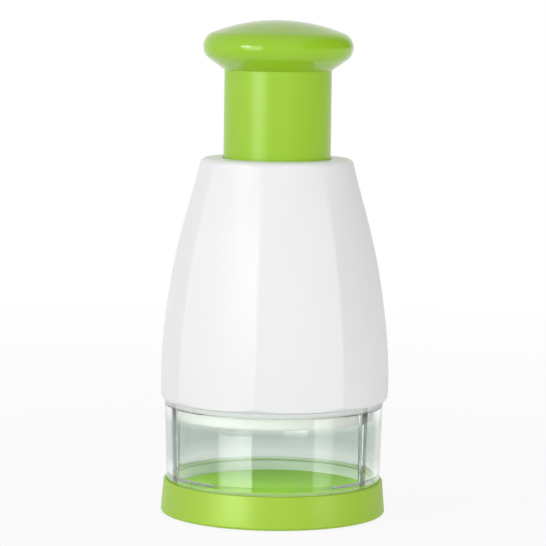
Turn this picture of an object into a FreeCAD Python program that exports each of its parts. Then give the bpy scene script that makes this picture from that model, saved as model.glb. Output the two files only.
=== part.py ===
import FreeCAD, Part
import math
import os
import re
import Sketcher

# Plunger food chopper, standing on its base.
# Millimetres and degrees. The origin is the middle of the face it stands on, +Z is up and -Y is the front.

V = FreeCAD.Vector

# Driving dimensions, each a step, gap, wall or travel from which the levels and radii below are added up
SIZES = {
    # Fits and gaps
    "slide_gap": "0.3",
    "fit_gap": "0.05",
    "seat_gap": "0.2",
    # Base, its foot ring and its board
    "foot_stand": "0.8",
    "foot_thickness": "2.4",
    "foot_inset": "5.6",
    "foot_width": "5",
    "pocket_wall": "2.5",
    "underside_depth": "6.3",
    "base_plate": "2",
    "ledge_rise": "1.5",
    "base_wall": "2.4",
    "base_flare": "1.3",
    "base_edge_round": "1.2",
    "base_rim_round": "0.5",
    "base_rib_width": "1.6",
    "base_rib_inner": "8",
    "board_thickness": "3",
    "board_round": "0.8",
    # Clear cup
    "spigot_depth": "5.3",
    "spigot_wall": "2",
    "cup_step": "1.4",
    "cup_flare": "1.1",
    "cup_height": "37.2",
    "cup_wall": "2.4",
    "cup_bevel": "1.6",
    "cup_round": "0.5",
    "neck_step": "1.9",
    "neck_wall": "2",
    "key_angle": "-34.5",
    "rib_width": "2.2",
    "rib_rise": "2",
    "lug_angle": "8",
    "lug_slack": "0.8",
    "lug_rise": "3",
    "lug_height": "2.8",
    "lug_cover": "2.2",
    "twist_angle": "20",
    # Housing shell: how far each level stands out from the one above it, and each level's share of the rise
    "crown_wall": "6",
    "neck_flare": "4.1",
    "shoulder_flare": "4.7",
    "chest_flare": "4.9",
    "belly_flare": "3.2",
    "hem_flare": "0.5",
    "hem_reach": "1.7",
    "belly_share": "0.258",
    "chest_share": "0.488",
    "shoulder_share": "0.7",
    "neck_share": "0.856",
    "housing_wall": "2.2",
    "hem_tuck": "0.5",
    "hem_tuck_rise": "2.4",
    "hem_tuck_round": "3",
    "crease_room": "1.4",
    "crown_round": "3.5",
    "collar_lip": "2.4",
    "collar_gap": "0.5",
    "bush_wall": "3.7",
    "bush_height": "8",
    "bush_space": "0.4",
    "boss_radius": "3.4",
    "boss_inset": "5.9",
    # Blade cage, closed above by the deck
    "skirt_wall": "2",
    "skirt_drop": "0.3",
    "cage_step": "2",
    "cage_wall": "2",
    "flange_inset": "0.8",
    "flange_thickness": "3",
    "deck_thickness": "3",
    "screw_radius": "1.5",
    "screw_length": "11",
    "screw_head_radius": "3",
    "screw_head_height": "2",
    "screw_slot": "0.8",
    # Plunger
    "plunge_travel": "36",
    "tube_radius": "24.5",
    "tube_draft": "0.1",
    "tube_wall": "2.2",
    "tube_flange_reach": "2.6",
    "tube_flange_height": "4",
    "web_drop": "18.4",
    "web_thickness": "4",
    "knob_gap": "3.9",
    "knob_socket": "5",
    "knob_reach": "9.7",
    "knob_rise": "10.6",
    "knob_rim_round": "7",
    "dome_rise": "12.2",
    "knob_wall": "2.6",
    "bumper_inset": "1.1",
    "bumper_width": "6.5",
    "bumper_height": "6.7",
    # Spindle and index rings
    "spindle_radius": "4",
    "collar_reach": "2.4",
    "collar_height": "3.5",
    "washer_radius": "8",
    "washer_thickness": "1.2",
    "cap_screw_radius": "2",
    "cap_screw_length": "12",
    "cap_head_radius": "4.5",
    "cap_head_height": "3",
    "cap_socket_width": "4",
    "index_neck_wall": "3.7",
    "index_flange": "4",
    "index_teeth": "12",
    "index_drop": "12",
    "tooth_depth": "2.4",
    "crown_height": "8",
    "ratchet_height": "8",
    "pin_radius": "1.2",
    "pin_rise": "2.5",
    # Blades and their carrier
    "blade_clearance": "0.5",
    "blade_thickness": "0.6",
    "apex_gap": "0.5",
    "blade_margin": "0.8",
    "blade_spread": "24",
    "bevel_height": "1.8",
    "carrier_gap": "3.6",
    "carrier_thickness": "6",
    "hub_wall": "5",
    "hub_rise": "3",
    "window_hub": "4",
    "window_rim": "6",
    "window_span": "40",
    # Guard
    "edge_cover": "0.4",
    "guard_thickness": "3.4",
    "guard_gap": "0.4",
    "guard_lift": "12",
    "post_radius": "1.6",
    "post_inset": "7.3",
    "post_head_radius": "3",
    "post_head_height": "1.8",
    # Wound springs
    "spring_radius": "13",
    "spring_wire": "1.6",
    "spring_turns": "9",
    "spring_washer_height": "0.8",
    "coil_space": "0.6",
    "guard_spring_gap": "1.1",
    "guard_spring_wire": "0.8",
    "guard_spring_turns": "4",
}

# Levels above the table and radii about the axis, which follow from the sizes above
DERIVED = {
    # Levels, from the table upward
    "plate_bottom": "=foot_stand + underside_depth",
    "plate_top": "=plate_bottom + base_plate",
    "board_top": "=plate_top + board_thickness",
    "ledge_top": "=plate_top + ledge_rise",
    "cup_bottom": "=ledge_top + slide_gap",
    "cup_shoulder": "=cup_bottom + spigot_depth",
    "base_height": "=cup_shoulder - seat_gap",
    "rib_foot": "=cup_shoulder + rib_rise",
    "cup_top": "=cup_shoulder + cup_height",
    "housing_bottom": "=cup_top + seat_gap",
    "lug_low": "=cup_top + lug_rise",
    "lug_top": "=lug_low + lug_height",
    "neck_top": "=lug_top + slide_gap + lug_cover",
    "flange_bottom": "=neck_top + slide_gap",
    "flange_top": "=flange_bottom + flange_thickness",
    "blade_edge": "=board_top + plunge_travel + blade_clearance",
    "guard_top": "=blade_edge + edge_cover",
    "guard_bottom": "=guard_top - guard_thickness",
    "skirt_step": "=guard_top + slide_gap",
    "skirt_bottom": "=guard_bottom - skirt_drop",
    "guard_spring_closed": "=(guard_spring_turns + 1) * guard_spring_wire + coil_space",
    "carrier_bottom": "=guard_top + guard_lift + guard_spring_closed",
    "carrier_top": "=carrier_bottom + carrier_thickness",
    "blade_top": "=carrier_bottom + carrier_thickness * 3 / 4",
    "hub_top": "=carrier_top + hub_rise",
    "ratchet_bottom": "=hub_top + index_drop",
    "pin_level": "=ratchet_bottom + pin_rise",
    "ratchet_top": "=ratchet_bottom + ratchet_height",
    "crown_bottom": "=ratchet_top + slide_gap",
    "deck_bottom": "=crown_bottom + crown_height",
    "deck_top": "=deck_bottom + deck_thickness",
    "spring_seat": "=deck_top + spring_washer_height",
    "bumper_top": "=deck_top + bumper_height",
    "tube_bottom": "=bumper_top + slide_gap + plunge_travel",
    "tube_flange_top": "=tube_bottom + tube_flange_height",
    "bush_bottom": "=tube_flange_top + bush_space",
    "bush_top": "=bush_bottom + bush_height",
    "housing_top": "=bush_top + collar_lip",
    "housing_rise": "=housing_top - housing_bottom",
    "knob_seam": "=housing_top + plunge_travel + knob_gap",
    "tube_top": "=knob_seam + knob_socket",
    "web_bottom": "=tube_top - web_drop",
    "web_top": "=web_bottom + web_thickness",
    "collar_top": "=web_bottom - slide_gap",
    "spindle_top": "=web_top + slide_gap",
    "spindle_bottom": "=carrier_bottom + carrier_thickness / 2",
    "washer_top": "=spindle_top + washer_thickness",
    "knob_rim_level": "=knob_seam + knob_rise",
    "knob_top": "=knob_rim_level + dome_rise",
    # Radii, from the plunger tube outward to the shell and back in to the cup and the base
    "bush_inner": "=tube_radius + slide_gap",
    "bush_outer": "=bush_inner + bush_wall",
    "collar_bore": "=tube_radius + collar_gap",
    "crown_ring_radius": "=bush_outer + crown_wall",
    "crown_width": "=crown_ring_radius - 2 * fit_gap",
    "neck_width": "=crown_width + neck_flare",
    "shoulder_width": "=neck_width + shoulder_flare",
    "chest_width": "=shoulder_width + chest_flare",
    "belly_width": "=chest_width + belly_flare",
    "hem_width": "=belly_width + hem_flare",
    "hem_edge_radius": "=hem_width - hem_tuck",
    "cup_top_radius": "=hem_width - hem_reach",
    "cup_low_radius": "=cup_top_radius - cup_flare",
    "spigot_radius": "=cup_low_radius - cup_step",
    "spigot_inner": "=spigot_radius - spigot_wall",
    "board_radius": "=spigot_inner - slide_gap",
    "rim_inner": "=spigot_radius + slide_gap",
    "base_rim_radius": "=rim_inner + base_wall",
    "base_low_radius": "=base_rim_radius + base_flare",
    "foot_outer": "=base_low_radius - foot_inset",
    "foot_inner": "=foot_outer - foot_width",
    "pocket_radius": "=foot_inner - pocket_wall",
    "neck_radius": "=cup_top_radius - neck_step",
    "neck_inner": "=neck_radius - neck_wall",
    "neck_bore": "=neck_radius + slide_gap",
    "lug_radius": "=neck_radius - slide_gap",
    "flange_radius": "=neck_radius - flange_inset",
    "skirt_radius": "=neck_inner - slide_gap",
    "skirt_bore": "=skirt_radius - skirt_wall",
    "cage_bore": "=skirt_bore - cage_step",
    "cage_outer": "=cage_bore + cage_wall",
    "boss_circle": "=cage_bore - boss_inset",
    "guard_radius": "=skirt_bore - guard_gap",
    "carrier_radius": "=cage_bore - carrier_gap",
    "post_circle": "=carrier_radius - post_inset",
    # Radii about the plunger tube and the spindle
    "tube_top_radius": "=tube_radius - tube_draft",
    "tube_inner": "=tube_radius - tube_wall",
    "tube_flange_radius": "=tube_radius + tube_flange_reach",
    "bumper_outer": "=tube_flange_radius - bumper_inset",
    "bumper_inner": "=bumper_outer - bumper_width",
    "knob_radius": "=tube_radius + knob_reach",
    "spindle_bore": "=spindle_radius + slide_gap",
    "collar_radius": "=spindle_radius + collar_reach",
    "deck_bore": "=spindle_bore + index_neck_wall",
    "index_radius": "=deck_bore + index_flange",
    "hub_radius": "=spindle_radius + hub_wall",
    "blade_apex": "=hub_radius + apex_gap",
    "blade_leg": "=carrier_radius - blade_apex - blade_margin",
    "window_inner": "=hub_radius + window_hub",
    "window_outer": "=post_circle - window_rim",
    "guard_spring_radius": "=cap_head_radius + guard_spring_gap + guard_spring_wire / 2",
}

# How far a cutting shape passes the face that it cuts
PAST = 1

# Pieces in threes stand 120 degrees apart, and what goes between them is turned by half of that
HALF_THIRD = 60


def fill_sheet(document):
    """Write the driving sizes and the values that follow from them into one sheet."""
    sheet = document.addObject("Spreadsheet::Sheet", "Sizes")
    for row, (word, content) in enumerate({**SIZES, **DERIVED}.items(), start=1):
        sheet.set(f"A{row}", word)
        sheet.set(f"B{row}", content)
        sheet.setAlias(f"B{row}", word)
    document.recompute()
    return sheet


doc = FreeCAD.newDocument("FoodChopper")
sizes = fill_sheet(doc)
ALIASES = set(SIZES) | set(DERIVED)
parts = {}


def bound(text):
    """Turn words such as tube_radius into references to the sheet's cells."""
    def reference(match):
        word = match.group()
        return f"Sizes.{word}" if word in ALIASES else word
    return re.sub(r"[a-z_]+", reference, str(text))


def value(text):
    """The number that an expression in the sheet's words comes to."""
    return float(sizes.evalExpression(bound(text)))


def bind(item, prop, text):
    item.setExpression(prop, bound(text))


def keep(name, item):
    """Register a finished sub-part under the name of its file."""
    item.Label = name
    parts[name] = item
    return item


# Sketch and feature helpers


def new_body(name):
    return keep(name, doc.addObject("PartDesign::Body", name))


def datum(body, role):
    return next(plane for plane in body.Origin.OriginFeatures if plane.Role == role)


def new_sketch(body, plane="XZ_Plane", level=None):
    sketch = body.newObject("Sketcher::SketchObject", body.Name + "_sketch")
    sketch.AttachmentSupport = [(datum(body, plane), "")]
    sketch.MapMode = "FlatFace"
    if level is not None:
        bind(sketch, ".AttachmentOffset.Base.z", level)
    return sketch


def place_point(sketch, edge, end, across, up):
    """Dimension one end of a sketch edge from the sketch's origin."""
    for kind, text in (("DistanceX", across), ("DistanceY", up)):
        index = sketch.addConstraint(Sketcher.Constraint(kind, -1, 1, edge, end, value(text)))
        bind(sketch, f"Constraints[{index}]", text)


def draw_outline(sketch, corners):
    """A closed outline of straight edges, each corner dimensioned from the origin."""
    points = [V(value(across), value(up), 0) for across, up in corners]
    first = sketch.GeometryCount
    for start, end in zip(points, points[1:] + points[:1]):
        sketch.addGeometry(Part.LineSegment(start, end), False)
    count = len(points)
    for index in range(count):
        following = (index + 1) % count
        joint = Sketcher.Constraint("Coincident", first + index, 2, first + following, 1)
        sketch.addConstraint(joint)
    for index, (across, up) in enumerate(corners):
        place_point(sketch, first + index, 1, across, up)


def draw_circle(sketch, radius, across="0", up="0"):
    centre = V(value(across), value(up), 0)
    edge = sketch.addGeometry(Part.Circle(centre, V(0, 0, 1), value(radius)), False)
    index = sketch.addConstraint(Sketcher.Constraint("Radius", edge, value(radius)))
    bind(sketch, f"Constraints[{index}]", radius)
    place_point(sketch, edge, 3, across, up)


def revolve(body, sketch, kind="PartDesign::Revolution", angle=None):
    feature = body.newObject(kind, body.Name + "_turned")
    feature.Profile = sketch
    feature.ReferenceAxis = (sketch, ["V_Axis"])
    if angle is None:
        feature.Angle = 360
    else:
        feature.Midplane = True
        bind(feature, "Angle", angle)
    return feature


def turned(name, corners):
    """A body of revolution about Z from (radius, level) corners."""
    body = new_body(name)
    sketch = new_sketch(body)
    draw_outline(sketch, corners)
    revolve(body, sketch)
    return body


def ring(name, inner, outer, low, high):
    """A plain ring between two radii and two levels."""
    return turned(name, [(inner, low), (outer, low), (outer, high), (inner, high)])


def pad(body, sketch, length):
    feature = body.newObject("PartDesign::Pad", body.Name + "_pad")
    feature.Profile = sketch
    bind(feature, "Length", length)
    return feature


def pocket(body, sketch, length, upward=True):
    feature = body.newObject("PartDesign::Pocket", body.Name + "_pocket")
    feature.Profile = sketch
    feature.Reversed = upward
    bind(feature, "Length", length)
    return feature


def repeat_round(body, features, count, span=360):
    """Repeat features about the body's Z axis."""
    pattern = body.newObject("PartDesign::PolarPattern", body.Name + "_pattern")
    pattern.Originals = features
    pattern.Axis = (datum(body, "Z_Axis"), [""])
    pattern.Angle = span
    bind(pattern, "Occurrences", count)
    body.Tip = pattern
    return pattern


def round_edges(body, radius, places):
    """Round the circular edges that lie at the given (radius, level) places."""
    doc.recompute()
    base = body.Tip
    names = []
    for across, up in places:
        for index, edge in enumerate(base.Shape.Edges, start=1):
            curve = edge.Curve
            round_edge = isinstance(curve, Part.Circle)
            if not round_edge:
                continue
            same_radius = abs(curve.Radius - value(across)) < 0.02
            same_level = abs(curve.Center.z - value(up)) < 0.02
            if same_radius and same_level:
                names.append(f"Edge{index}")
    fillet = body.newObject("PartDesign::Fillet", body.Name + "_rounding")
    fillet.Base = (base, sorted(set(names)))
    bind(fillet, "Radius", radius)
    return fillet


def turn_to(body, angle):
    """Turn a whole body about Z."""
    bind(body, ".Placement.Rotation.Angle", angle)


def copies_round(name, shape, count, circle, start):
    """Identical pieces on one circle, kept as one group of separate solids."""
    group = doc.addObject("Part::Feature", name)
    placed = []
    for index in range(count):
        turn = start + index * 360 / count
        copy = shape.copy()
        copy.translate(V(circle, 0, 0))
        copy.rotate(V(0, 0, 0), V(0, 0, 1), turn)
        placed.append(copy)
    group.Shape = Part.makeCompound(placed)
    return keep(name, group)


# Base, its board and the ring it stands on


def make_foot_ring():
    ring("foot_ring", "foot_inner", "foot_outer", "0", "foot_thickness")


def make_base_cap():
    groove_inner = "foot_inner - fit_gap"
    groove_outer = "foot_outer + fit_gap"
    body = turned("base_cap", [
        ("0", "plate_bottom"),
        ("pocket_radius", "plate_bottom"),
        ("pocket_radius", "foot_stand"),
        (groove_inner, "foot_stand"),
        (groove_inner, "foot_thickness"),
        (groove_outer, "foot_thickness"),
        (groove_outer, "foot_stand"),
        ("base_low_radius", "foot_stand"),
        ("base_rim_radius", "base_height"),
        ("rim_inner", "base_height"),
        ("rim_inner", "ledge_top"),
        ("board_radius + fit_gap", "ledge_top"),
        ("board_radius + fit_gap", "plate_top"),
        ("0", "plate_top"),
    ])
    sketch = new_sketch(body, "XY_Plane", "foot_stand")
    half = "base_rib_width / 2"
    draw_outline(sketch, [
        ("base_rib_inner", f"-{half}"),
        (f"pocket_radius + {PAST}", f"-{half}"),
        (f"pocket_radius + {PAST}", half),
        ("base_rib_inner", half),
    ])
    rib = pad(body, sketch, "plate_bottom - foot_stand + base_plate / 2")
    repeat_round(body, [rib], "6")
    round_edges(body, "base_edge_round", [("base_low_radius", "foot_stand")])
    round_edges(body, "base_rim_round", [("base_rim_radius", "base_height"), ("rim_inner", "base_height")])


def make_chopping_board():
    body = turned("chopping_board", [
        ("0", "plate_top"), ("board_radius", "plate_top"), ("board_radius", "board_top"), ("0", "board_top"),
    ])
    round_edges(body, "board_round", [("board_radius", "board_top")])


# Clear cup with its three ribs, and the slots that its lugs turn in


def neck_slot(body, low, high, start, end):
    """Cut the neck between two levels and two angles from the rib."""
    sketch = new_sketch(body)
    draw_outline(sketch, [
        (f"neck_inner - {PAST}", low),
        (f"neck_radius + {PAST}", low),
        (f"neck_radius + {PAST}", high),
        (f"neck_inner - {PAST}", high),
    ])
    slot = body.newObject("PartDesign::Groove", body.Name + "_slot")
    slot.Profile = sketch
    slot.ReferenceAxis = (sketch, ["V_Axis"])
    slot.Type = "TwoAngles"
    bind(slot, "Angle", end)
    bind(slot, "Angle2", start)
    return slot


def make_clear_cup():
    body = turned("clear_cup", [
        ("spigot_inner", "cup_bottom"),
        ("spigot_radius", "cup_bottom"),
        ("spigot_radius", "cup_shoulder"),
        ("cup_low_radius", "cup_shoulder"),
        ("cup_top_radius", "cup_top"),
        ("neck_radius", "cup_top"),
        ("neck_radius", "neck_top"),
        ("neck_inner", "neck_top"),
        ("neck_inner", "cup_top - cup_bevel"),
        ("cup_top_radius - cup_wall", "cup_top - 2 * cup_bevel"),
        ("cup_low_radius - cup_wall", "cup_shoulder + 2 * cup_bevel"),
        ("spigot_inner", "cup_shoulder + cup_bevel"),
    ])
    sketch = new_sketch(body, "XY_Plane", "rib_foot")
    half = "rib_width / 2"
    draw_outline(sketch, [
        ("neck_inner", f"-{half}"),
        ("cup_low_radius - cup_wall / 2", f"-{half}"),
        ("cup_low_radius - cup_wall / 2", half),
        ("neck_inner", half),
    ])
    rib = pad(body, sketch, "cup_top - cup_bevel - rib_foot")
    repeat_round(body, [rib], "3")
    low = "lug_low - slide_gap"
    turn = neck_slot(body, low, "lug_top + slide_gap", "lug_angle / 2 + lug_slack",
                     "twist_angle + lug_angle / 2 + lug_slack")
    entry = neck_slot(body, low, f"neck_top + {PAST}", "lug_angle / 2 + lug_slack - twist_angle",
                      "twist_angle + lug_angle / 2 + lug_slack")
    repeat_round(body, [turn, entry], "3")
    round_edges(body, "cup_round", [("cup_top_radius", "cup_top"), ("cup_low_radius", "cup_shoulder")])
    turn_to(body, "key_angle")


# Housing shell, with eight soft facets that melt into a round crown

FACET_COUNT = 8
HALF_FACET = 180 / FACET_COUNT
FIRST_CREASE = -54

# For each level: half width, share of the rise, facet bow (facet radius over apothem) and crease rounding
SHELL_LEVELS = [
    ("hem_width", "0", 1.35, 2.6),
    ("belly_width", "belly_share", 2.4, 2.6),
    ("chest_width", "chest_share", 2.6, 3.2),
    ("shoulder_width", "shoulder_share", 2.3, 4.5),
    ("neck_width", "neck_share", 1.7, 9),
    ("crown_width", "1", 1.2, 18),
]


def facet_outline(apothem, bow, crease, level):
    """A closed outline of bowed facets joined by rounded creases."""
    facet_radius = apothem * bow
    offset = facet_radius - apothem
    half = math.radians(HALF_FACET)
    reach = math.sqrt((facet_radius - crease) ** 2 - (offset * math.sin(half)) ** 2)
    crease_centre = reach - offset * math.cos(half)
    # Where the facet's arc hands over to the crease's arc, seen from the facet's normal
    slant = math.atan2(crease_centre * math.sin(half), crease_centre * math.cos(half) + offset)
    edges = []

    def at(radius, angle):
        return V(radius * math.sin(angle), -radius * math.cos(angle), level)

    for index in range(FACET_COUNT):
        normal = math.radians(FIRST_CREASE + HALF_FACET + index * 360 / FACET_COUNT)
        centre = at(-offset, normal)
        left = centre + at(facet_radius, normal - slant) - V(0, 0, level)
        middle = centre + at(facet_radius, normal) - V(0, 0, level)
        right = centre + at(facet_radius, normal + slant) - V(0, 0, level)
        edges.append(Part.Arc(left, middle, right).toShape())
        corner = normal + half
        tip = at(crease_centre + crease, corner)
        following = normal + 2 * half
        next_left = at(-offset, following) + at(facet_radius, following - slant) - V(0, 0, level)
        edges.append(Part.Arc(right, tip, next_left).toShape())
    return Part.Wire(edges)


def facet_loft(inset):
    """The shell's faceted form, moved inward by the inset."""
    outlines = []
    for width, share, bow, crease in SHELL_LEVELS:
        half = math.radians(HALF_FACET)
        corner_ratio = math.sqrt(bow ** 2 - ((bow - 1) * math.sin(half)) ** 2) - (bow - 1) * math.cos(half)
        side_crease = math.radians(90 - (FIRST_CREASE + 3 * 2 * HALF_FACET))
        apothem = value(width) / math.cos(side_crease) / corner_ratio
        facet_radius = apothem * bow - inset
        level = value("housing_bottom") + value("housing_rise") * value(share)
        outlines.append(facet_outline(apothem - inset, facet_radius / (apothem - inset), crease, level))
    return Part.makeLoft(outlines, True, False)


def solid_of(name, shape):
    """A shape worked out from the sheet, as an object of the document."""
    item = doc.addObject("Part::Feature", name)
    item.Shape = shape
    return item


def cylinder(name, radius, low, high):
    """An upright cylinder on the Z axis between two levels."""
    item = doc.addObject("Part::Cylinder", name)
    bind(item, "Radius", radius)
    bind(item, "Height", f"({high}) - ({low})")
    bind(item, ".Placement.Base.z", low)
    return item


def combine(kind, name, base, tool):
    item = doc.addObject(kind, name)
    item.Base = base
    item.Tool = tool
    return item


def make_envelope():
    """The turned form that rounds off the hem and the crown."""
    body = doc.addObject("PartDesign::Body", "housing_envelope")
    sketch = new_sketch(body)
    wide = "hem_width + 4 * crease_room"
    draw_outline(sketch, [
        ("0", "housing_bottom"),
        ("hem_edge_radius", "housing_bottom"),
        ("hem_width + crease_room", "housing_bottom + hem_tuck_rise"),
        (wide, "housing_bottom + housing_rise * belly_share"),
        (wide, "housing_bottom + housing_rise * chest_share"),
        ("shoulder_width + crease_room", "housing_bottom + housing_rise * shoulder_share"),
        ("neck_width + crease_room / 2", "housing_bottom + housing_rise * neck_share"),
        ("crown_ring_radius", "housing_top"),
        ("0", "housing_top"),
    ])
    revolve(body, sketch)
    round_edges(body, "crown_round", [("crown_ring_radius", "housing_top")])
    round_edges(body, "hem_tuck_round", [("hem_width + crease_room", "housing_bottom + hem_tuck_rise")])
    return body


def boss_set(name, radius, low, high):
    """Three upright cylinders on the screws' circle, as one shape."""
    posts = []
    for index in range(3):
        post = cylinder(f"{name}_{index + 1}", radius, low, high)
        angle = f"(key_angle + {HALF_THIRD + 120 * index})"
        bind(post, ".Placement.Base.x", f"boss_circle * cos{angle}")
        bind(post, ".Placement.Base.y", f"boss_circle * sin{angle}")
        posts.append(post)
    group = doc.addObject("Part::MultiFuse", name)
    group.Shapes = posts
    return group


def make_housing():
    facets = solid_of("housing_facets", facet_loft(0))
    outer = combine("Part::Common", "housing_outer", facets, make_envelope())
    inner = solid_of("housing_hollow", facet_loft(value("housing_wall")))
    room = cylinder("housing_room", "hem_width + 4 * crease_room", "flange_bottom", "bush_bottom")
    hollow = combine("Part::Common", "housing_inside", inner, room)
    bosses = boss_set("housing_bosses", "boss_radius", "deck_top", "bush_bottom")
    void = combine("Part::Cut", "housing_void", hollow, bosses)
    removed = doc.addObject("Part::MultiFuse", "housing_removed")
    removed.Shapes = [
        void,
        cylinder("housing_neck_bore", "neck_bore", f"housing_bottom - {PAST}", "flange_bottom + fit_gap"),
        cylinder("housing_bush_bore", "bush_outer + fit_gap", f"bush_bottom - {PAST}", "bush_top"),
        cylinder("housing_lip_bore", "collar_bore", f"bush_top - {PAST}", f"housing_top + {PAST}"),
        boss_set("housing_pilots", "screw_radius + fit_gap", f"deck_top - {PAST}", "deck_top + screw_length"),
    ]
    keep("housing", combine("Part::Cut", "housing", outer, removed))


def make_guide_bush():
    body = ring("guide_bush", "bush_inner", "bush_outer", "bush_bottom", "bush_top")
    round_edges(body, "fit_gap * 10", [("bush_inner", "bush_bottom"), ("bush_outer", "bush_bottom")])


# Blade cage with its deck, skirt and lugs


def make_blade_cage():
    body = turned("blade_cage", [
        ("deck_bore", "deck_bottom"),
        ("cage_bore", "deck_bottom"),
        ("cage_bore", "skirt_step"),
        ("skirt_bore", "skirt_step"),
        ("skirt_bore", "skirt_bottom"),
        ("skirt_radius", "skirt_bottom"),
        ("skirt_radius", "flange_bottom"),
        ("flange_radius", "flange_bottom"),
        ("flange_radius", "flange_top"),
        ("cage_outer", "flange_top"),
        ("cage_outer", "deck_top"),
        ("deck_bore", "deck_top"),
    ])
    sketch = new_sketch(body)
    draw_outline(sketch, [
        ("skirt_radius - skirt_wall / 4", "lug_low"),
        ("lug_radius", "lug_low"),
        ("lug_radius", "lug_top"),
        ("skirt_radius - skirt_wall / 4", "lug_top"),
    ])
    lug = revolve(body, sketch, angle="lug_angle")
    repeat_round(body, [lug], "3")
    sketch = new_sketch(body, "XY_Plane", f"deck_bottom - {PAST}")
    draw_circle(sketch, "screw_radius + fit_gap", f"boss_circle * cos({HALF_THIRD})",
                f"boss_circle * sin({HALF_THIRD})")
    hole = pocket(body, sketch, f"deck_thickness + 2 * {PAST}")
    repeat_round(body, [hole], "3")
    turn_to(body, "key_angle")


def screw_shape(head_radius, head_height, shank_radius, shank_length, slot):
    """A screw standing on its head, with a cross recess in it."""
    head = Part.makeCylinder(head_radius, head_height)
    shank = Part.makeCylinder(shank_radius, shank_length, V(0, 0, head_height))
    arm = head_radius * 1.2
    depth = head_height / 2
    recess = Part.makeBox(arm, slot, depth, V(-arm / 2, -slot / 2, 0))
    cross = recess.fuse(Part.makeBox(slot, arm, depth, V(-slot / 2, -arm / 2, 0)))
    return head.fuse(shank).cut(cross).removeSplitter()


def make_cage_screws():
    shape = screw_shape(value("screw_head_radius"), value("screw_head_height"), value("screw_radius"),
                        value(f"deck_thickness + screw_length - {PAST}"), value("screw_slot"))
    group = copies_round("cage_screws", shape, 3, value("boss_circle"),
                         value("key_angle") + HALF_THIRD)
    bind(group, ".Placement.Base.z", "deck_bottom - screw_head_height")


def make_stop_bumper():
    body = ring("stop_bumper", "bumper_inner", "bumper_outer", "deck_top", "bumper_top")
    round_edges(body, "bumper_width / 5", [("bumper_inner", "bumper_top"), ("bumper_outer", "bumper_top")])


# Plunger: tube with its web and stop flange, and the knob pressed on top


def make_plunger_tube():
    body = turned("plunger_tube", [
        ("spindle_bore", "web_bottom"),
        ("tube_inner", "web_bottom"),
        ("tube_inner", "tube_bottom"),
        ("tube_flange_radius", "tube_bottom"),
        ("tube_flange_radius", "tube_flange_top"),
        ("tube_radius", "tube_flange_top"),
        ("tube_top_radius", "tube_top"),
        ("tube_inner", "tube_top"),
        ("tube_inner", "web_top"),
        ("spindle_bore", "web_top"),
    ])
    round_edges(body, "tube_wall / 3", [("tube_flange_radius", "tube_bottom")])


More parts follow.
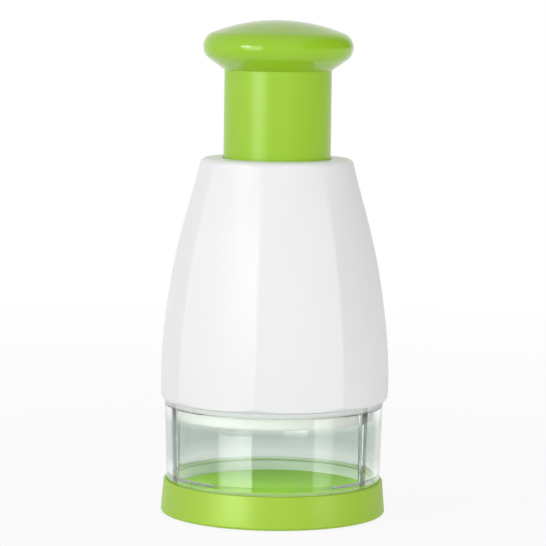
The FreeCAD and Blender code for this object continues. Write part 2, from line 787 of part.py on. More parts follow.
def make_knob():
    """A hollow mushroom: dome, small rim arc, straight underside and a socket for the tube."""
    body = new_body("knob")
    sketch = new_sketch(body)
    rim_x = value("knob_radius - knob_rim_round")
    rim_z = value("knob_rim_level")
    rim_r = value("knob_rim_round")
    rise = value("knob_top - knob_rim_level")
    dome_r = (rim_x ** 2 + rise ** 2 - rim_r ** 2) / (2 * (rise - rim_r))
    dome_z = value("knob_top") - dome_r
    wall = value("knob_wall")
    socket_x = value("tube_top_radius + fit_gap")
    seam_z = value("knob_seam")
    # The rim arc meets the dome on the line through both centres, and the underside at a right angle
    dome_angle = math.atan2(rim_z - dome_z, rim_x)
    span = math.hypot(rim_x - socket_x, rim_z - seam_z)
    slope = math.atan2(rim_z - seam_z, rim_x - socket_x) - math.asin(rim_r / span)
    low_angle = slope - math.pi / 2
    rim_centre = V(rim_x, rim_z, 0)

    def polar(centre, radius, angle):
        return centre + V(radius * math.cos(angle), radius * math.sin(angle), 0)

    dome_centre = V(0, dome_z, 0)
    apex = V(0, dome_z + dome_r, 0)
    inner_apex = V(0, dome_z + dome_r - wall, 0)
    inner_angle = dome_angle + math.radians(4)
    inner_end = polar(dome_centre, dome_r - wall, inner_angle)
    ledge_x = value("tube_inner")
    ledge_z = value("tube_top")
    seam = V(socket_x, seam_z, 0)
    underside_end = polar(rim_centre, rim_r, low_angle)
    outline = [
        Part.LineSegment(seam, underside_end),
        Part.ArcOfCircle(Part.Circle(rim_centre, V(0, 0, 1), rim_r), low_angle, dome_angle),
        Part.ArcOfCircle(Part.Circle(dome_centre, V(0, 0, 1), dome_r), dome_angle, math.pi / 2),
        Part.LineSegment(apex, inner_apex),
        Part.ArcOfCircle(Part.Circle(dome_centre, V(0, 0, 1), dome_r - wall), inner_angle, math.pi / 2),
        Part.LineSegment(inner_end, V(ledge_x, ledge_z + wall, 0)),
        Part.LineSegment(V(ledge_x, ledge_z + wall, 0), V(ledge_x, ledge_z, 0)),
        Part.LineSegment(V(ledge_x, ledge_z, 0), V(socket_x, ledge_z, 0)),
        Part.LineSegment(V(socket_x, ledge_z, 0), seam),
    ]
    sketch.addGeometry(outline, False)
    joints = [(0, 2, 1, 1), (1, 2, 2, 1), (2, 2, 3, 1), (3, 2, 4, 2), (4, 1, 5, 1),
              (5, 2, 6, 1), (6, 2, 7, 1), (7, 2, 8, 1), (8, 2, 0, 1)]
    for first, first_end, second, second_end in joints:
        smooth = (first, second) in ((0, 1), (1, 2))
        kind = "Tangent" if smooth else "Coincident"
        sketch.addConstraint(Sketcher.Constraint(kind, first, first_end, second, second_end))
    sketch.addConstraint(Sketcher.Constraint("Coincident", 2, 3, 4, 3))
    place_point(sketch, 1, 3, "knob_radius - knob_rim_round", "knob_rim_level")
    place_point(sketch, 2, 2, "0", "knob_top")
    place_point(sketch, 0, 1, "tube_top_radius + fit_gap", "knob_seam")
    place_point(sketch, 3, 2, "0", "knob_top - knob_wall")
    place_point(sketch, 6, 1, "tube_inner", "tube_top + knob_wall")
    place_point(sketch, 7, 1, "tube_inner", "tube_top")
    place_point(sketch, 8, 1, "tube_top_radius + fit_gap", "tube_top")
    rim = sketch.addConstraint(Sketcher.Constraint("Radius", 1, rim_r))
    bind(sketch, f"Constraints[{rim}]", "knob_rim_round")
    sketch.addConstraint(Sketcher.Constraint("PointOnObject", 2, 3, -2))
    revolve(body, sketch)


# Spindle, its fastenings and the two toothed index rings


def make_spindle():
    body = turned("spindle", [
        ("0", "spindle_bottom"),
        ("spindle_radius", "spindle_bottom"),
        ("spindle_radius", "collar_top - collar_height"),
        ("collar_radius", "collar_top - collar_height"),
        ("collar_radius", "collar_top"),
        ("spindle_radius", "collar_top"),
        ("spindle_radius", "spindle_top"),
        ("0", "spindle_top"),
    ])
    sketch = new_sketch(body, "XY_Plane", "spindle_top - cap_screw_length")
    draw_circle(sketch, "cap_screw_radius + fit_gap")
    pocket(body, sketch, f"cap_screw_length + {PAST}")
    sketch = new_sketch(body, "XY_Plane", f"spindle_bottom - {PAST}")
    draw_circle(sketch, "cap_screw_radius + fit_gap")
    pocket(body, sketch, f"cap_screw_length + {PAST}")
    sketch = new_sketch(body, "XZ_Plane", f"-spindle_radius - {PAST}")
    draw_circle(sketch, "pin_radius + fit_gap", "0", "pin_level")
    pocket(body, sketch, f"2 * spindle_radius + 2 * {PAST}")


def make_spindle_washer():
    ring("spindle_washer", "cap_screw_radius + fit_gap", "washer_radius", "spindle_top", "washer_top")


def make_spindle_screw():
    """A cap screw with a hexagon socket, held head up."""
    body = turned("spindle_screw", [
        ("0", "washer_top - cap_screw_length"),
        ("cap_screw_radius", "washer_top - cap_screw_length"),
        ("cap_screw_radius", "washer_top"),
        ("cap_head_radius", "washer_top"),
        ("cap_head_radius", "washer_top + cap_head_height"),
        ("0", "washer_top + cap_head_height"),
    ])
    cut_hexagon(body, "washer_top + cap_head_height / 2", "cap_head_height")


def cut_hexagon(body, level, depth):
    """Cut a hexagon socket upward from a level."""
    sketch = new_sketch(body, "XY_Plane", level)
    corners = []
    for index in range(6):
        corners.append((f"cap_socket_width / sqrt(3) * cos({60 * index})",
                        f"cap_socket_width / sqrt(3) * sin({60 * index})"))
    draw_outline(sketch, corners)
    pocket(body, sketch, depth)


def cut_teeth(body, root, tip):
    """Cut the notches of a saw-toothed ring from its end face at the tip level."""
    sketch = new_sketch(body, "YZ_Plane")
    width = "2 * index_radius * sin(180 / index_teeth)"
    draw_outline(sketch, [("0", root), (width, tip), ("0", tip)])
    notch = pocket(body, sketch, f"index_radius + {PAST}")
    return repeat_round(body, [notch], "index_teeth")


def make_index_crown():
    body = turned("index_crown", [
        ("spindle_bore", "crown_bottom"),
        ("index_radius", "crown_bottom"),
        ("index_radius", "deck_bottom"),
        ("deck_bore - fit_gap", "deck_bottom"),
        ("deck_bore - fit_gap", "deck_top"),
        ("spindle_bore", "deck_top"),
    ])
    cut_teeth(body, "crown_bottom + tooth_depth", "crown_bottom")


def make_index_ratchet():
    body = ring("index_ratchet", "spindle_radius + fit_gap", "index_radius", "ratchet_bottom", "ratchet_top")
    cut_teeth(body, "ratchet_top - tooth_depth", "ratchet_top")
    sketch = new_sketch(body, "XZ_Plane", f"-index_radius - {PAST}")
    draw_circle(sketch, "pin_radius + fit_gap", "0", "pin_level")
    pocket(body, sketch, f"2 * index_radius + 2 * {PAST}")


def make_ratchet_pin():
    body = new_body("ratchet_pin")
    sketch = new_sketch(body, "XZ_Plane", "-index_radius + pin_radius")
    draw_circle(sketch, "pin_radius", "0", "pin_level")
    pad(body, sketch, "2 * index_radius - 2 * pin_radius")


# Blades, carrier and guard


def blade_corners(slack):
    """The folded strip of one blade, seen from above, widened on both faces by the slack."""
    face = f"({slack}) / sin(blade_spread)"
    inner = f"(blade_thickness + {slack}) / sin(blade_spread)"
    reach = f"(blade_leg + ({slack}) / tan(blade_spread) + ({slack}))"
    run_x = f"{reach} * cos(blade_spread)"
    run_y = f"{reach} * sin(blade_spread)"
    step_x = f"(blade_thickness + 2 * ({slack})) * sin(blade_spread)"
    step_y = f"(blade_thickness + 2 * ({slack})) * cos(blade_spread)"
    outer_apex = f"blade_apex - {face}"
    return [
        (outer_apex, "0"),
        (f"{outer_apex} + {run_x}", f"-{run_y}"),
        (f"{outer_apex} + {run_x} + {step_x}", f"-{run_y} + {step_y}"),
        (f"blade_apex + {inner}", "0"),
        (f"{outer_apex} + {run_x} + {step_x}", f"{run_y} - {step_y}"),
        (f"{outer_apex} + {run_x}", run_y),
    ]


def make_blade(index):
    body = new_body(f"blade_{index + 1}")
    sketch = new_sketch(body, "XY_Plane", "blade_edge")
    draw_outline(sketch, blade_corners("0"))
    strip = pad(body, sketch, "blade_top - blade_edge")
    doc.recompute()
    edges = []
    for number, edge in enumerate(strip.Shape.Edges, start=1):
        ends = [vertex.Point for vertex in edge.Vertexes]
        low = all(abs(point.z - value("blade_edge")) < 0.01 for point in ends)
        from_apex = any(abs(point.y) < 0.01 and point.x < value("blade_apex") + 0.01 for point in ends)
        if low and from_apex:
            edges.append(f"Edge{number}")
    bevel = body.newObject("PartDesign::Chamfer", body.Name + "_bevel")
    bevel.Base = (strip, edges)
    bevel.ChamferType = "Two distances"
    bind(bevel, "Size", "bevel_height")
    bind(bevel, "Size2", "blade_thickness * 0.8")
    turn_to(body, f"{120 * index}")


def make_blade_carrier():
    body = turned("blade_carrier", [
        ("spindle_radius + fit_gap", "spindle_bottom"),
        ("cap_screw_radius + slide_gap", "spindle_bottom"),
        ("cap_screw_radius + slide_gap", "carrier_bottom"),
        ("carrier_radius", "carrier_bottom"),
        ("carrier_radius", "carrier_top"),
        ("hub_radius", "carrier_top"),
        ("hub_radius", "hub_top"),
        ("spindle_radius + fit_gap", "hub_top"),
    ])
    sketch = new_sketch(body, "XY_Plane", f"carrier_bottom - {PAST}")
    draw_outline(sketch, blade_corners("fit_gap"))
    slot = pocket(body, sketch, f"blade_top - carrier_bottom + {PAST}")
    sketch = new_sketch(body, "XY_Plane", f"carrier_bottom - {PAST}")
    draw_circle(sketch, "post_radius + slide_gap", f"post_circle * cos({HALF_THIRD})",
                f"post_circle * sin({HALF_THIRD})")
    post_hole = pocket(body, sketch, f"carrier_thickness + 2 * {PAST}")
    window = carrier_window(body)
    repeat_round(body, [slot, post_hole, window], "3")
    round_edges(body, "carrier_thickness / 5", [("carrier_radius", "carrier_top")])


def carrier_window(body):
    """Cut a sector through the carrier between two blades, to lighten it."""
    sketch = new_sketch(body)
    draw_outline(sketch, [
        ("window_inner", f"carrier_bottom - {PAST}"),
        ("window_outer", f"carrier_bottom - {PAST}"),
        ("window_outer", f"carrier_top + {PAST}"),
        ("window_inner", f"carrier_top + {PAST}"),
    ])
    window = body.newObject("PartDesign::Groove", body.Name + "_window")
    window.Profile = sketch
    window.ReferenceAxis = (sketch, ["V_Axis"])
    window.Type = "TwoAngles"
    bind(window, "Angle", f"{HALF_THIRD} + window_span / 2")
    bind(window, "Angle2", f"window_span / 2 - {HALF_THIRD}")
    return window


def make_carrier_screw():
    body = turned("carrier_screw", [
        ("0", f"carrier_bottom - {PAST}"),
        ("cap_head_radius", f"carrier_bottom - {PAST}"),
        ("cap_head_radius", "carrier_bottom"),
        ("cap_screw_radius", "carrier_bottom"),
        ("cap_screw_radius", f"spindle_bottom + cap_screw_length - {PAST}"),
        ("0", f"spindle_bottom + cap_screw_length - {PAST}"),
    ])
    return body


def make_guard_plate():
    body = turned("guard_plate", [
        ("0", "guard_bottom"),
        ("guard_radius", "guard_bottom"),
        ("guard_radius", "guard_top"),
        ("0", "guard_top"),
    ])
    sketch = new_sketch(body, "XY_Plane", f"guard_bottom - {PAST}")
    draw_outline(sketch, blade_corners("slide_gap"))
    slot = pocket(body, sketch, f"guard_thickness + 2 * {PAST}")
    sketch = new_sketch(body, "XY_Plane", "guard_top - guard_thickness * 2 / 3")
    draw_circle(sketch, "post_radius + fit_gap", f"post_circle * cos({HALF_THIRD})",
                f"post_circle * sin({HALF_THIRD})")
    post_hole = pocket(body, sketch, "guard_thickness")
    repeat_round(body, [slot, post_hole], "3")
    round_edges(body, "guard_thickness / 4", [("guard_radius", "guard_bottom")])


def make_guard_posts():
    foot = value("guard_top - guard_thickness * 2 / 3")
    head = value("carrier_top + slide_gap")
    stem = Part.makeCylinder(value("post_radius"), head - foot, V(0, 0, foot))
    cap = Part.makeCylinder(value("post_head_radius"), value("post_head_height"), V(0, 0, head))
    copies_round("guard_posts", stem.fuse(cap).removeSplitter(), 3, value("post_circle"), HALF_THIRD)


# Wound springs


def biarc(start, start_way, end, end_way):
    """Two arcs that leave the start and reach the end along the given directions."""
    chord = end - start
    ways = start_way + end_way
    spread = 2 * (1 - start_way.dot(end_way))
    along = chord.dot(ways)
    handle = (math.sqrt(along ** 2 + spread * chord.dot(chord)) - along) / spread
    first_corner = start + start_way * handle
    second_corner = end - end_way * handle
    middle = (first_corner + second_corner) / 2
    return [arc_by_corner(start, first_corner, middle), arc_by_corner(middle, second_corner, end)]


def arc_by_corner(start, corner, end):
    """The arc whose end tangents meet at the corner."""
    base = (start + end) / 2
    half_chord = (end - start).Length / 2
    turn = math.atan2((corner - base).Length, half_chord)
    crest = base + (corner - base) * (math.tan(turn / 2) / math.tan(turn))
    return Part.Arc(start, crest, end).toShape()


def coil_stations(radius, low, high, turns, closed_pitch):
    """Points and directions at every quarter turn of a spring whose end turns lie closer."""
    steps = 4 * turns
    openness = [min(1, max(0, (min(step, steps - step) - 3) / 2)) for step in range(steps + 1)]
    shares = [(openness[step] + openness[step + 1]) / 2 for step in range(steps)]
    open_pitch = (high - low - closed_pitch * turns) / (sum(shares) / 4)
    pitches = [closed_pitch + open_pitch * share for share in openness]
    stations = []
    level = low
    for step in range(steps + 1):
        angle = math.radians(90 * step)
        place = V(radius * math.cos(angle), radius * math.sin(angle), level)
        way = V(-math.sin(angle), math.cos(angle), pitches[step] / (2 * math.pi * radius))
        stations.append((place, way.normalize()))
        if step < steps:
            level += (pitches[step] + pitches[step + 1]) / 8
    return stations


def coil_gap(stations, wire):
    """The least gap between one turn's wire and the next, measured at the quarter turns."""
    points = [place for place, way in stations]
    return min((points[index + 4] - points[index]).Length for index in range(len(points) - 4)) - wire


def wound_spring(name, radius, wire, low, high, turns):
    """One unbroken tube wound between two seats, its ends straight for one wire thickness."""
    lift = wire / 2 + value("fit_gap")
    stations = coil_stations(radius, low + lift, high - lift, turns, wire + value("coil_space"))
    edges = []
    for (start, start_way), (end, end_way) in zip(stations, stations[1:]):
        edges += biarc(start, start_way, end, end_way)
    first, first_way = stations[0]
    last, last_way = stations[-1]
    level_in = V(first_way.x, first_way.y, 0).normalize()
    edges.insert(0, Part.LineSegment(first - level_in * wire, first).toShape())
    edges.append(Part.LineSegment(last, last + last_way * wire).toShape())
    path = Part.Wire(edges)
    section = Part.Wire(Part.Circle(first - level_in * wire, level_in, wire / 2).toShape())
    spring = solid_of(name, Part.Wire(path).makePipeShell([section], True, False))
    print(f"{name} least gap between turns {coil_gap(stations, wire):.2f} mm")
    return keep(name, spring)


def make_springs():
    ring("spring_washer", "spring_radius - 3 * spring_wire / 2", "spring_radius + 3 * spring_wire / 2",
         "deck_top", "spring_seat")
    wound_spring("return_spring", value("spring_radius"), value("spring_wire"), value("spring_seat"),
                 value("web_bottom"), int(value("spring_turns")))
    wound_spring("guard_spring", value("guard_spring_radius"), value("guard_spring_wire"), value("guard_top"),
                 value("carrier_bottom"), int(value("guard_spring_turns")))


def main():
    make_foot_ring()
    make_base_cap()
    make_chopping_board()
    make_clear_cup()
    make_housing()
    make_guide_bush()
    make_blade_cage()
    make_cage_screws()
    make_stop_bumper()
    make_plunger_tube()
    make_knob()
    make_spindle()
    make_spindle_washer()
    make_spindle_screw()
    make_index_crown()
    make_index_ratchet()
    make_ratchet_pin()
    for index in range(3):
        make_blade(index)
    make_blade_carrier()
    make_carrier_screw()
    make_guard_plate()
    make_guard_posts()
    make_springs()
    doc.recompute()
    for item in doc.Objects:
        failed = {"Invalid", "Error"} & set(item.State)
        if failed:
            raise RuntimeError(f"{item.Name} did not build: {item.State}")
    os.makedirs("parts", exist_ok=True)
    for name, item in parts.items():
        shape = item.Shape
        if shape.isNull() or not shape.isValid():
            raise RuntimeError(f"{name} has no valid shape")
        box = shape.BoundBox
        print(f"{name:16s} solids {len(shape.Solids)} volume {shape.Volume:10.1f} "
              f"z {box.ZMin:7.2f} {box.ZMax:7.2f} x {box.XMin:6.2f} {box.XMax:6.2f}")
        shape.exportStep(f"parts/{name}.step")


main()
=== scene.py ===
import math

import bpy
from mathutils import Matrix, Vector


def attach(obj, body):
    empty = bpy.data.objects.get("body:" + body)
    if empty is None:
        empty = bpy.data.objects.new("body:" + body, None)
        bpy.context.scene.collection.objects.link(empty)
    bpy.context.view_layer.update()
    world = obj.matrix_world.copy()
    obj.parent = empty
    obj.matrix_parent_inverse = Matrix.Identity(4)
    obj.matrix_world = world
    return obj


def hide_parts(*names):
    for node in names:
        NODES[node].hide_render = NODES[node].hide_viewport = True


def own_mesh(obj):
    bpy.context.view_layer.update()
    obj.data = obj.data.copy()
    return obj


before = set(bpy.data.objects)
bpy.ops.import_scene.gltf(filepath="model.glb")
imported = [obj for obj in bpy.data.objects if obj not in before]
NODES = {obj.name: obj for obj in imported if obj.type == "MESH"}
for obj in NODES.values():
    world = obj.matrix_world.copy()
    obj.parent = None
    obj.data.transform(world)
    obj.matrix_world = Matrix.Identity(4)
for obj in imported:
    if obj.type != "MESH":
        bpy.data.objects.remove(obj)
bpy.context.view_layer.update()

# The clear cup: where each change starts and ends, in metres above the table or from the axis
FOOT_FROST_END = (0.0158, 0.0164)
LEDGE_TOP = (0.0168, 0.0176)
LEDGE_RADIUS = (0.0477, 0.0479)
# The grey band of painted shade round the cup's middle height fades in over the first pair and out over the
# second
PAINTED_SHADE_START = (0.021, 0.028)
PAINTED_SHADE_END = (0.043, 0.047)
# Where the ribs' painted shade turns to near-black painted shadow at the top
RIB_TOP_PAINTED_SHADOW = (0.044, 0.05)
SEAT_FROST_START = (0.0505, 0.052)

# How frosted it is in three places, from 0 to 1
FOOT_FROST = 0.85
SEAT_FROST = 0.7
LEDGE_FROST = 0.75

# Its ribs, in degrees round the axis: one rib's place, and where a rib's edge fades
RIB_AZIMUTH = 55.5
RIB_EDGE = (2.2, 2.9)
RIB_COUNT = 3

# The studio, in metres and degrees
FLOOR_RADIUS = 40
FLOOR_RINGS = 6
FLOOR_SPOKES = 96
SHADOW_ZONE = (0.12, 0.9)
FILL_LEVEL = 0.4
DARK_CARD_EDGE = (0.35, 0.75)
DARK_CARD_LEVEL = 0.1
AIM_HEIGHT = 0.11
CARD_RADIUS = 0.112
CAMERA_PLACE = (-0.00115, -1.35, 0.2512)
CAMERA_TARGET = (-0.00115, 0, 0.1109)
CAMERA_LENS_MM = 195.5
CAMERA_ROLL = 0.75


# Colours


def linear(red, green, blue):
    """A colour given as it should look on screen, in the linear values that the shaders take."""
    values = []
    for level in (red, green, blue):
        share = level / 255
        values.append(share / 12.92 if share <= 0.04045 else ((share + 0.055) / 1.055) ** 2.4)
    return (*values, 1.0)


# Node helpers


def new_material(name):
    material = bpy.data.materials.new(name)
    material.use_nodes = True
    tree = material.node_tree
    return material, tree, tree.nodes["Principled BSDF"]


def add(tree, kind, **settings):
    node = tree.nodes.new(kind)
    for key, setting in settings.items():
        setattr(node, key, setting)
    return node


def set_inputs(node, **values):
    for key, setting in values.items():
        node.inputs[key.replace("_", " ")].default_value = setting
    return node


def noise(tree, scale, detail, stretch=(1, 1, 1), turn=(0, 0, 0)):
    """Noise in the object's own metres, turned and stretched along any axis."""
    place = add(tree, "ShaderNodeTexCoord")
    mapping = add(tree, "ShaderNodeMapping")
    set_inputs(mapping, Scale=stretch, Rotation=turn)
    tree.links.new(place.outputs["Object"], mapping.inputs["Vector"])
    texture = add(tree, "ShaderNodeTexNoise")
    set_inputs(texture, Scale=scale, Detail=detail)
    tree.links.new(mapping.outputs["Vector"], texture.inputs["Vector"])
    return texture.outputs["Fac"]


def spread(tree, source, low, high, start=0.3, end=0.7, interpolation="LINEAR"):
    """Turn a value between start and end into one between low and high."""
    node = add(tree, "ShaderNodeMapRange", interpolation_type=interpolation)
    set_inputs(node, From_Min=start, From_Max=end, To_Min=low, To_Max=high)
    tree.links.new(source, node.inputs["Value"])
    return node.outputs["Result"]


def blend_colours(tree, source, first, second):
    """Two near colours, mixed by the middle of a noise's range."""
    ramp = add(tree, "ShaderNodeValToRGB")
    ramp.color_ramp.elements[0].position = 0.3
    ramp.color_ramp.elements[1].position = 0.7
    ramp.color_ramp.elements[0].color = first
    ramp.color_ramp.elements[1].color = second
    tree.links.new(source, ramp.inputs["Fac"])
    return ramp.outputs["Color"]


def calculate(tree, operation, first, second):
    """One Math node whose inputs are sockets or numbers."""
    node = add(tree, "ShaderNodeMath", operation=operation)
    for index, entry in enumerate((first, second)):
        if isinstance(entry, (int, float)):
            node.inputs[index].default_value = entry
        else:
            tree.links.new(entry, node.inputs[index])
    return node.outputs[0]


def mix_colours(tree, share, first, second):
    node = add(tree, "ShaderNodeMix", data_type="RGBA")
    tree.links.new(share, node.inputs["Factor"])
    for name, entry in (("A", first), ("B", second)):
        socket = [one for one in node.inputs if one.name == name and one.type == "RGBA"][0]
        if isinstance(entry, tuple):
            socket.default_value = entry
        else:
            tree.links.new(entry, socket)
    return [one for one in node.outputs if one.type == "RGBA"][0]


def mix_shaders(tree, share, first, second):
    node = add(tree, "ShaderNodeMixShader")
    tree.links.new(share, node.inputs["Fac"])
    tree.links.new(first, node.inputs[1])
    tree.links.new(second, node.inputs[2])
    return node.outputs[0]


def bump(tree, shader, source, distance, strength=1.0, after=None):
    node = add(tree, "ShaderNodeBump")
    set_inputs(node, Distance=distance, Strength=strength)
    tree.links.new(source, node.inputs["Height"])
    if after is not None:
        tree.links.new(after, node.inputs["Normal"])
    tree.links.new(node.outputs["Normal"], shader.inputs["Normal"])
    return node.outputs["Normal"]


def show(tree, surface):
    tree.links.new(surface, tree.nodes["Material Output"].inputs["Surface"])


# Materials


def moulded_plastic(name, first, second, gloss_low, gloss_high,
                    ripple=0.00004, scatter=0.0, tint=None, ior=1.46):
    """Injection-moulded plastic: faint flow colour, handling haze and a slight ripple."""
    material, tree, shader = new_material(name)
    flow = noise(tree, 18, 3, (1, 1, 0.45))
    tree.links.new(blend_colours(tree, flow, first, second), shader.inputs["Base Color"])
    haze = noise(tree, 30, 4)
    tree.links.new(spread(tree, haze, gloss_low, gloss_high, 0.2, 0.8), shader.inputs["Roughness"])
    shader.inputs["IOR"].default_value = ior
    if scatter:
        shader.inputs["Subsurface Weight"].default_value = scatter
        shader.inputs["Subsurface Scale"].default_value = 0.02
        shader.inputs["Subsurface Radius"].default_value = tint
    wave = bump(tree, shader, noise(tree, 45, 2), ripple)
    bump(tree, shader, noise(tree, 2600, 2), 0.000004, 0.6, wave)
    return material


def satin_plastic(name, first, second, roughness):
    """Plastic with a fine even grain, as tools leave it inside a housing."""
    material, tree, shader = new_material(name)
    tree.links.new(blend_colours(tree, noise(tree, 30, 4), first, second), shader.inputs["Base Color"])
    haze = spread(tree, noise(tree, 120, 4), roughness - 0.06, roughness + 0.06)
    tree.links.new(haze, shader.inputs["Roughness"])
    shader.inputs["IOR"].default_value = 1.49
    bump(tree, shader, noise(tree, 900, 3), 0.00003, 0.5)
    return material


def board_plastic():
    """The chopping board: satin green with fine straight knife marks in three directions."""
    material, tree, shader = new_material("board_plastic_look")
    colour = blend_colours(tree, noise(tree, 26, 5), linear(166, 230, 4), linear(173, 236, 12))
    tree.links.new(colour, shader.inputs["Base Color"])
    tree.links.new(spread(tree, noise(tree, 90, 5), 0.45, 0.6), shader.inputs["Roughness"])
    shader.inputs["Specular IOR Level"].default_value = 0.12
    normal = None
    for index in range(3):
        turn = (0, 0, math.radians(60 * index + 12))
        marks = noise(tree, 900.0, 2.0, (1, 0.03, 1), turn=turn)
        cuts = spread(tree, marks, 1.0, 0.0, 0.64, 0.72)
        normal = bump(tree, shader, cuts, 0.00006, 0.35, normal)
    return material


def rubber(name, colour, second):
    material, tree, shader = new_material(name)
    tree.links.new(blend_colours(tree, noise(tree, 40, 5), colour, second), shader.inputs["Base Color"])
    tree.links.new(spread(tree, noise(tree, 200, 4), 0.6, 0.8), shader.inputs["Roughness"])
    bump(tree, shader, noise(tree, 1500, 4), 0.00003, 0.6)
    return material


def steel(name, colour, second, roughness, stretch, line_scale=500):
    """Metal with fine drawn or ground lines along the stretched axis."""
    material, tree, shader = new_material(name)
    shader.inputs["Metallic"].default_value = 1.0
    tree.links.new(blend_colours(tree, noise(tree, 35, 4), colour, second), shader.inputs["Base Color"])
    lines = noise(tree, line_scale, 3, stretch)
    tree.links.new(spread(tree, lines, roughness - 0.08, roughness + 0.1), shader.inputs["Roughness"])
    bump(tree, shader, lines, 0.00001, 0.4)
    return material


def clear_plastic():
    """Clear plastic: a cool tint, a grey band of painted shade round the middle height, painted shade and
    shadow on the ribs, painted green on the ledge, and frost on foot and seat.
    """
    material, tree, shader = new_material("clear_plastic_look")
    place = add(tree, "ShaderNodeTexCoord")
    axes = add(tree, "ShaderNodeSeparateXYZ")
    tree.links.new(place.outputs["Object"], axes.inputs["Vector"])
    height = axes.outputs["Z"]

    streaks = noise(tree, 22, 3, (1, 1, 0.4))
    # A grey tint painted round the cup's middle height, as painted shade of the cup's inside seen through it;
    # it stays clear below, where the board shows, and above, where the cage shows.
    clear_tint = blend_colours(tree, streaks, linear(249, 252, 250), linear(252, 254, 253))
    painted_shade_tint = blend_colours(tree, streaks, linear(209, 218, 212), linear(214, 223, 217))
    under_top = spread(tree, height, 1.0, 0.0, *PAINTED_SHADE_END)
    over_bottom = spread(tree, height, 0.0, 1.0, *PAINTED_SHADE_START)
    tint_with_painted_band = mix_colours(tree, calculate(tree, "MINIMUM", under_top, over_bottom), clear_tint, painted_shade_tint)

    front = calculate(tree, "MULTIPLY", axes.outputs["Y"], -1.0)
    azimuth = calculate(tree, "ARCTAN2", axes.outputs["X"], front)
    turn = calculate(tree, "SUBTRACT", azimuth, math.radians(RIB_AZIMUTH))
    apart = calculate(tree, "PINGPONG", turn, math.pi / RIB_COUNT)
    on_rib = spread(tree, apart, 1.0, 0.0, math.radians(RIB_EDGE[0]), math.radians(RIB_EDGE[1]))
    # The clear ribs are painted grey where seen edge-on, as painted shade of how they bend the light. They
    # are painted near black at the top, as painted shadow of the dark gap under the housing.
    slant = add(tree, "ShaderNodeLayerWeight")
    edge_on_shade = spread(tree, slant.outputs["Facing"], 0.0, 1.0, 0.15, 0.45)
    rib_top_shadow = spread(tree, height, 0.0, 1.0, *RIB_TOP_PAINTED_SHADOW)
    painted_rib_shade = mix_colours(tree, rib_top_shadow, linear(122, 130, 124), linear(36, 40, 36))
    ribbed = mix_colours(tree, calculate(tree, "MULTIPLY", edge_on_shade, on_rib), tint_with_painted_band, painted_rib_shade)
    tree.links.new(ribbed, shader.inputs["Base Color"])
    shader.inputs["Transmission Weight"].default_value = 1.0
    shader.inputs["IOR"].default_value = 1.4

    haze = spread(tree, noise(tree, 80, 5), 0.0, 0.05)
    foot = spread(tree, height, FOOT_FROST, 0.0, *FOOT_FROST_END)
    seat = spread(tree, height, 0.0, SEAT_FROST, *SEAT_FROST_START)
    flat = add(tree, "ShaderNodeVectorMath", operation="MULTIPLY")
    flat.inputs[1].default_value = (1, 1, 0)
    tree.links.new(place.outputs["Object"], flat.inputs[0])
    radius = add(tree, "ShaderNodeVectorMath", operation="LENGTH")
    tree.links.new(flat.outputs["Vector"], radius.inputs[0])
    outside = spread(tree, radius.outputs["Value"], 0.0, 1.0, *LEDGE_RADIUS)
    ledge = calculate(tree, "MULTIPLY", outside, spread(tree, height, 1.0, 0.0, *LEDGE_TOP))
    ledge_share = calculate(tree, "MULTIPLY", ledge, LEDGE_FROST)
    frost = calculate(tree, "MAXIMUM", calculate(tree, "MAXIMUM", foot, seat), ledge_share)
    tree.links.new(calculate(tree, "MAXIMUM", haze, frost), shader.inputs["Roughness"])
    bump(tree, shader, noise(tree, 30, 2, (1, 1, 0.5)), 0.00005, 1.0)

    milk = add(tree, "ShaderNodeBsdfDiffuse")
    # The frost is a pale milk, but on the ledge it is painted green, as painted refraction of the green base
    # seen through it.
    milk_and_painted_green = mix_colours(tree, ledge, linear(240, 244, 241), linear(160, 206, 70))
    tree.links.new(milk_and_painted_green, milk.inputs["Color"])
    frosted = mix_shaders(tree, frost, shader.outputs[0], milk.outputs[0])
    path = add(tree, "ShaderNodeLightPath")
    clear = add(tree, "ShaderNodeBsdfTransparent")
    clear.inputs["Color"].default_value = (0.96, 0.97, 0.96, 1)
    show(tree, mix_shaders(tree, path.outputs["Is Shadow Ray"], frosted, clear.outputs[0]))
    return material


GREEN = moulded_plastic("green_plastic_look", linear(157, 203, 40), linear(162, 207, 46), 0.25, 0.33)
# The base is the tube's green plastic with a rougher finish; its colour is a little paler and less saturated,
# as partly painted sheen.
BASE = moulded_plastic("base_plastic_look", linear(163, 203, 52), linear(168, 207, 58), 0.38, 0.45)
KNOB = moulded_plastic("knob_plastic_look", linear(155, 203, 36), linear(160, 207, 42), 0.09, 0.14,
                       scatter=0.15, tint=(0.12, 1.0, 0.08))
WHITE = moulded_plastic("white_plastic_look", linear(242, 242, 244), linear(245, 245, 246), 0.33, 0.38,
                        ripple=0.00003, ior=1.33)
CAGE = satin_plastic("cage_plastic_look", linear(194, 197, 190), linear(200, 203, 196), 0.52)
BUSH = satin_plastic("bush_plastic_look", linear(226, 226, 222), linear(232, 232, 229), 0.38)
BOARD = board_plastic()
CLEAR = clear_plastic()
FOOT = rubber("foot_rubber_look", linear(120, 124, 118), linear(132, 136, 130))
BUMPER = rubber("bumper_rubber_look", linear(40, 40, 42), linear(52, 52, 54))
WIRE = steel("spring_steel_look", linear(198, 200, 204), linear(210, 212, 215), 0.28, (1, 1, 6))
ZINC = steel("screw_steel_look", linear(196, 200, 204), linear(214, 216, 218), 0.3, (1, 1, 1), 900)
BLADE = steel("blade_steel_look", linear(214, 216, 219), linear(226, 228, 230), 0.2, (1, 1, 14), 700)

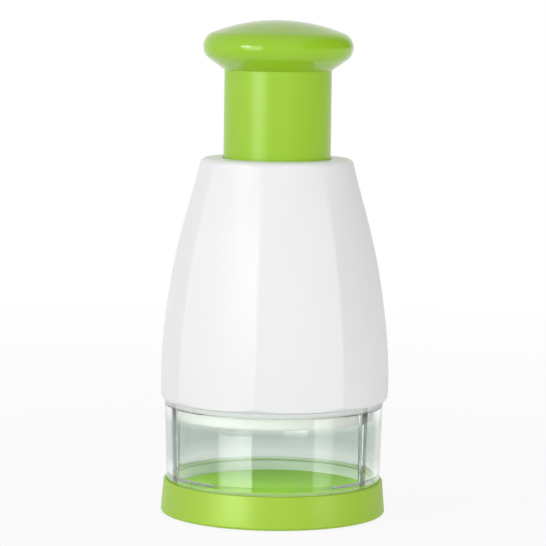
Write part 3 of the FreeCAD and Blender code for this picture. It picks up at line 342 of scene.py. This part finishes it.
FINISHES = {
    "foot_ring": FOOT,
    "base_cap": BASE,
    "chopping_board": BOARD,
    "clear_cup": CLEAR,
    "housing": WHITE,
    "guide_bush": BUSH,
    "blade_cage": CAGE,
    "cage_screws": ZINC,
    "stop_bumper": BUMPER,
    "spring_washer": ZINC,
    "index_crown": BUSH,
    "return_spring": WIRE,
    "plunger_tube": GREEN,
    "knob": KNOB,
    "spindle": BLADE,
    "spindle_washer": ZINC,
    "spindle_screw": ZINC,
    "index_ratchet": BUSH,
    "ratchet_pin": ZINC,
    "blade_carrier": CAGE,
    "carrier_screw": ZINC,
    "blade_1": BLADE,
    "blade_2": BLADE,
    "blade_3": BLADE,
    "guard_spring": WIRE,
    "guard_plate": CAGE,
    "guard_posts": ZINC,
}

for name, node in NODES.items():
    node.data.materials.clear()
    node.data.materials.append(FINISHES[name])


# Spring copies


def shortening_spring(name, node, body):
    """A copy of the rigid spring's mesh in its place, attached to the given body, with the rigid one hidden.
    """
    coil = bpy.data.objects.new(name, NODES[node].data.copy())
    bpy.context.scene.collection.objects.link(coil)
    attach(coil, body)
    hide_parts(node)
    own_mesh(coil)


shortening_spring("return_coil", "return_spring", "shell")
shortening_spring("guard_coil", "guard_spring", "blade_unit")


# Floor and background


def seen_directly(tree):
    """1 for camera, glossy and transmission rays, which see the plain white studio."""
    path = add(tree, "ShaderNodeLightPath")
    seen = calculate(tree, "MAXIMUM", path.outputs["Is Camera Ray"], path.outputs["Is Glossy Ray"])
    return calculate(tree, "MAXIMUM", seen, path.outputs["Is Transmission Ray"])


def floor_mesh():
    """A flat disc of rings and spokes."""
    vertices = [(0.0, 0.0, 0.0)]
    for ring in range(1, FLOOR_RINGS + 1):
        reach = FLOOR_RADIUS * ring / FLOOR_RINGS
        for spoke in range(FLOOR_SPOKES):
            turn = 2 * math.pi * spoke / FLOOR_SPOKES
            vertices.append((reach * math.cos(turn), reach * math.sin(turn), 0.0))
    faces = []
    for spoke in range(FLOOR_SPOKES):
        faces.append((0, 1 + spoke, 1 + (spoke + 1) % FLOOR_SPOKES))
    for ring in range(FLOOR_RINGS - 1):
        inner = 1 + ring * FLOOR_SPOKES
        outer = inner + FLOOR_SPOKES
        for spoke in range(FLOOR_SPOKES):
            following = (spoke + 1) % FLOOR_SPOKES
            faces.append((inner + spoke, outer + spoke, outer + following, inner + following))
    mesh = bpy.data.meshes.new("floor")
    mesh.from_pydata(vertices, [], faces)
    return mesh


def make_floor():
    """A pale round floor that keeps the soft shadow under the object and turns white further out."""
    mesh = floor_mesh()
    floor = bpy.data.objects.new("floor", mesh)
    bpy.context.scene.collection.objects.link(floor)
    material, tree, shader = new_material("floor_paint")
    colour = blend_colours(tree, noise(tree, 8, 3), (0.86, 0.86, 0.86, 1), (0.88, 0.88, 0.88, 1))
    tree.links.new(colour, shader.inputs["Base Color"])
    shader.inputs["Roughness"].default_value = 0.9
    shader.inputs["Specular IOR Level"].default_value = 0.1
    glow = add(tree, "ShaderNodeEmission")
    set_inputs(glow, Strength=1.0)
    place = add(tree, "ShaderNodeTexCoord")
    away = add(tree, "ShaderNodeVectorMath", operation="LENGTH")
    tree.links.new(place.outputs["Object"], away.inputs[0])
    white = spread(tree, away.outputs["Value"], 0.9, 1.0, *SHADOW_ZONE)
    share = calculate(tree, "MULTIPLY", seen_directly(tree), white)
    show(tree, mix_shaders(tree, share, shader.outputs[0], glow.outputs[0]))
    mesh.materials.append(material)


def make_world():
    """White for what looks at it, dimmer for the even fill, with a dark card on the right for gloss alone."""
    world = bpy.data.worlds.new("studio")
    bpy.context.scene.world = world
    world.use_nodes = True
    tree = world.node_tree
    background = tree.nodes["Background"]
    background.inputs["Color"].default_value = (1, 1, 1, 1)
    level = spread(tree, seen_directly(tree), FILL_LEVEL, 1.0, 0.0, 1.0)
    way = add(tree, "ShaderNodeTexCoord")
    axes = add(tree, "ShaderNodeSeparateXYZ")
    tree.links.new(way.outputs["Generated"], axes.inputs["Vector"])
    card = spread(tree, axes.outputs["X"], 0.0, 1.0, *DARK_CARD_EDGE, "SMOOTHSTEP")
    path = add(tree, "ShaderNodeLightPath")
    dark = calculate(tree, "MULTIPLY", card, path.outputs["Is Glossy Ray"])
    kept = spread(tree, dark, 1.0, DARK_CARD_LEVEL, 0.0, 1.0)
    tree.links.new(calculate(tree, "MULTIPLY", level, kept), background.inputs["Strength"])


# Lamps and camera


def lamp(name, place, way, width, height, power, diffuse=True, glossy=True, spread_deg=180):
    """A rectangular lamp at a place, with its back towards the given way. Power is in watts."""
    light = bpy.data.lights.new(name, "AREA")
    light.shape = "RECTANGLE"
    light.size = width
    light.size_y = height
    light.energy = power
    light.spread = math.radians(spread_deg)
    holder = bpy.data.objects.new(name, light)
    holder.location = place
    holder.rotation_euler = way.to_track_quat("Z", "Y").to_euler()
    holder.visible_camera = False
    holder.visible_diffuse = diffuse
    holder.visible_glossy = glossy
    bpy.context.scene.collection.objects.link(holder)


def towards(azimuth, elevation):
    """The way out from the object. Azimuth 0 is the front and 90 is the right."""
    a, e = math.radians(azimuth), math.radians(elevation)
    return Vector((math.sin(a) * math.cos(e), -math.cos(a) * math.cos(e), math.sin(e)))


def soft_box(name, azimuth, elevation, distance, width, height, power, **seen):
    """A lamp that faces the middle of the object."""
    way = towards(azimuth, elevation)
    lamp(name, Vector((0, 0, AIM_HEIGHT)) + way * distance, way, width, height, power, **seen)


def low_card(name, azimuth, middle, width, height, power):
    """A small upright card close to the cup, which shows only as a highlight."""
    way = towards(azimuth, 0)
    place = way * CARD_RADIUS + Vector((0, 0, middle))
    lamp(name, place, way, width, height, power, diffuse=False, spread_deg=90)


def make_camera():
    """The photograph's view: just above the object, 1.36 m away, with a slight roll."""
    camera = bpy.data.cameras.new("camera")
    camera.sensor_width = 36
    camera.lens = CAMERA_LENS_MM
    camera.clip_start = 0.05
    camera.clip_end = 100
    holder = bpy.data.objects.new("camera", camera)
    bpy.context.scene.collection.objects.link(holder)
    place = Vector(CAMERA_PLACE)
    turn = (Vector(CAMERA_TARGET) - place).to_track_quat("-Z", "Y").to_matrix().to_4x4()
    roll = Matrix.Rotation(math.radians(CAMERA_ROLL), 4, "Z")
    holder.matrix_world = Matrix.Translation(place) @ turn @ roll
    bpy.context.scene.camera = holder


make_floor()
make_world()
soft_box("key", -52, 15, distance=1.2, width=0.28, height=0.28, power=1.74)
soft_box("key_gloss", -52, 15, distance=1.2, width=0.15, height=0.15, power=0.7, diffuse=False)
soft_box("front", 14, 12, distance=1.6, width=1.1, height=1.1, power=10.7, glossy=False)
soft_box("right", 58, 6, distance=1.0, width=0.25, height=0.9, power=1.12, glossy=False)
soft_box("left", -88, 14, distance=1.0, width=0.5, height=0.8, power=2.6, glossy=False)
soft_box("band", -39, 8, distance=1.0, width=0.5, height=0.5, power=2.9, diffuse=False)
low_card("low_card_left", -33, middle=0.0145, width=0.06, height=0.028, power=0.008)
low_card("low_card_right", 44, middle=0.0185, width=0.035, height=0.036, power=0.0028)
make_camera()
bpy.context.scene.view_settings.view_transform = "Standard"
